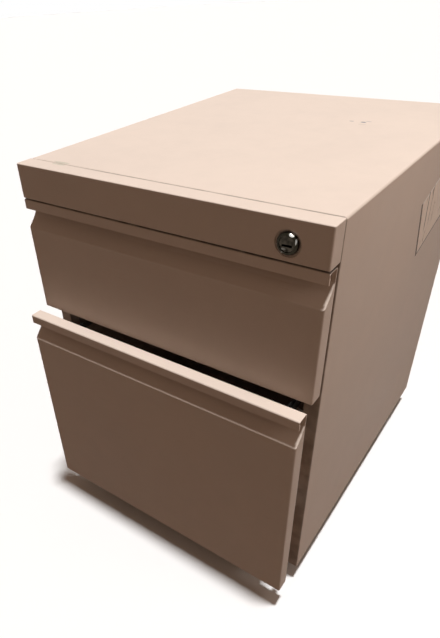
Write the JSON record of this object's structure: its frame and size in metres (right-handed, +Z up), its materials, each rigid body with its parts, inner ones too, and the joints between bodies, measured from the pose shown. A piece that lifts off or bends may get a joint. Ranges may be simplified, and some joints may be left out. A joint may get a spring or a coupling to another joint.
{
  "type": "two-drawer mobile pedestal filing cabinet",
  "caption": "Under-desk steel pedestal on casters with a box drawer over a file drawer, full-width folded pulls, a header with a lock, and the lower drawer a little open.",
  "frame": {"origin": "on the floor, below the middle of the bounding box, with the lower drawer as far open as in the picture", "axes": "+Z up; the drawers face -Y and +Y runs to the back; +X to the right as seen from the front"},
  "size_m": [0.4, 0.533, 0.534],
  "materials": {
    "cream_paint": "satin powder coat, lightly textured",
    "galvanised_steel": "zinc plated",
    "bright_steel": "bright zinc",
    "raw_steel": "plain rolled plate",
    "chrome": "polished",
    "black_rubber": "matte",
    "white_nylon": "moulded",
    "black_plastic": "moulded"
  },
  "bodies": {
    "case": {"case_wrapper": "cream_paint", "back_panel": "cream_paint", "base_pan": "cream_paint", "counterweight": "raw_steel", "header_fascia": "cream_paint", "lock_rail": "cream_paint", "right_uprights": "galvanised_steel", "left_uprights": "galvanised_steel", "box_slide_outer_right": "bright_steel", "box_slide_outer_left": "bright_steel", "file_slide_outer_right": "bright_steel", "file_slide_outer_left": "bright_steel", "lock_housing": "chrome", "lock_nut": "bright_steel", "lock_bar_guides": "white_nylon", "caster_plates": "bright_steel", "caster_screws": "bright_steel"},
    "box_drawer": {"box_front": "cream_paint", "box_front_liner": "cream_paint", "box_bumpers": "black_rubber", "box_tray_floor": "cream_paint", "box_tray_sides": "cream_paint", "box_tray_ends": "cream_paint", "box_front_screws": "bright_steel", "box_catch": "bright_steel", "box_slide_inner_right": "bright_steel", "box_slide_inner_left": "bright_steel"},
    "box_slide_middle": {"box_slide_middle_right": "bright_steel", "box_slide_middle_left": "bright_steel"},
    "file_drawer": {"file_front": "cream_paint", "file_front_liner": "cream_paint", "file_bumpers": "black_rubber", "file_tray_floor": "cream_paint", "file_tray_sides": "cream_paint", "file_tray_ends": "cream_paint", "file_front_screws": "bright_steel", "file_catch": "bright_steel", "file_slide_inner_right": "bright_steel", "file_slide_inner_left": "bright_steel", "hanging_rail_right": "galvanised_steel", "hanging_rail_left": "galvanised_steel"},
    "file_slide_middle": {"file_slide_middle_right": "bright_steel", "file_slide_middle_left": "bright_steel"},
    "lock_plug": {"lock_plug": "chrome", "lock_cam": "bright_steel"},
    "lock_bar": {"lock_bar": "galvanised_steel"},
    "front_left_fork": {"front_left_caster_fork": "bright_steel", "front_left_caster_axle": "bright_steel"},
    "front_left_wheel": {"front_left_caster_wheel": "black_plastic"},
    "front_right_fork": {"front_right_caster_fork": "bright_steel", "front_right_caster_axle": "bright_steel"},
    "front_right_wheel": {"front_right_caster_wheel": "black_plastic"},
    "rear_left_fork": {"rear_left_caster_fork": "bright_steel", "rear_left_caster_axle": "bright_steel"},
    "rear_left_wheel": {"rear_left_caster_wheel": "black_plastic"},
    "rear_right_fork": {"rear_right_caster_fork": "bright_steel", "rear_right_caster_axle": "bright_steel"},
    "rear_right_wheel": {"rear_right_caster_wheel": "black_plastic"}
  },
  "joints": [
    {"name": "box_drawer_slide", "type": "slide", "parent": "case", "child": "box_drawer", "axis": [0, -1, 0], "range_m": [0, 0.42]},
    {"name": "box_middle_slide", "type": "slide", "parent": "case", "child": "box_slide_middle", "axis": [0, -1, 0], "range_m": [0, 0.21]},
    {"name": "file_drawer_slide", "type": "slide", "parent": "case", "child": "file_drawer", "axis": [0, -1, 0], "range_m": [-0.029, 0.391]},
    {"name": "file_middle_slide", "type": "slide", "parent": "case", "child": "file_slide_middle", "axis": [0, -1, 0], "range_m": [-0.0145, 0.1955]},
    {"name": "lock_turn", "type": "hinge", "parent": "case", "child": "lock_plug", "pos_m": [0.158, -0.2398, 0.51], "axis": [0, -1, 0], "range_deg": [-90, 0]},
    {"name": "lock_bar_slide", "type": "slide", "parent": "case", "child": "lock_bar", "axis": [0, 0, 1], "range_m": [-0.0099, 0]},
    {"name": "front_left_swivel", "type": "hinge", "parent": "case", "child": "front_left_fork", "pos_m": [-0.155, -0.1655, 0.0446], "axis": [0, 0, 1], "continuous": true},
    {"name": "front_left_roll", "type": "hinge", "parent": "front_left_fork", "child": "front_left_wheel", "pos_m": [-0.155, -0.1505, 0.019], "axis": [1, 0, 0], "continuous": true},
    {"name": "front_right_swivel", "type": "hinge", "parent": "case", "child": "front_right_fork", "pos_m": [0.155, -0.1655, 0.0446], "axis": [0, 0, 1], "continuous": true},
    {"name": "front_right_roll", "type": "hinge", "parent": "front_right_fork", "child": "front_right_wheel", "pos_m": [0.155, -0.1505, 0.019], "axis": [1, 0, 0], "continuous": true},
    {"name": "rear_left_swivel", "type": "hinge", "parent": "case", "child": "rear_left_fork", "pos_m": [-0.155, 0.2035, 0.0446], "axis": [0, 0, 1], "continuous": true},
    {"name": "rear_left_roll", "type": "hinge", "parent": "rear_left_fork", "child": "rear_left_wheel", "pos_m": [-0.155, 0.2185, 0.019], "axis": [1, 0, 0], "continuous": true},
    {"name": "rear_right_swivel", "type": "hinge", "parent": "case", "child": "rear_right_fork", "pos_m": [0.155, 0.2035, 0.0446], "axis": [0, 0, 1], "continuous": true},
    {"name": "rear_right_roll", "type": "hinge", "parent": "rear_right_fork", "child": "rear_right_wheel", "pos_m": [0.155, 0.2185, 0.019], "axis": [1, 0, 0], "continuous": true}
  ],
  "couplings": [
    {"joint": "box_middle_slide", "follows": "box_drawer_slide", "ratio": 0.5},
    {"joint": "file_middle_slide", "follows": "file_drawer_slide", "ratio": 0.5},
    {"joint": "lock_turn", "follows": "lock_bar_slide", "rad_per_m": 158.66}
  ]
}
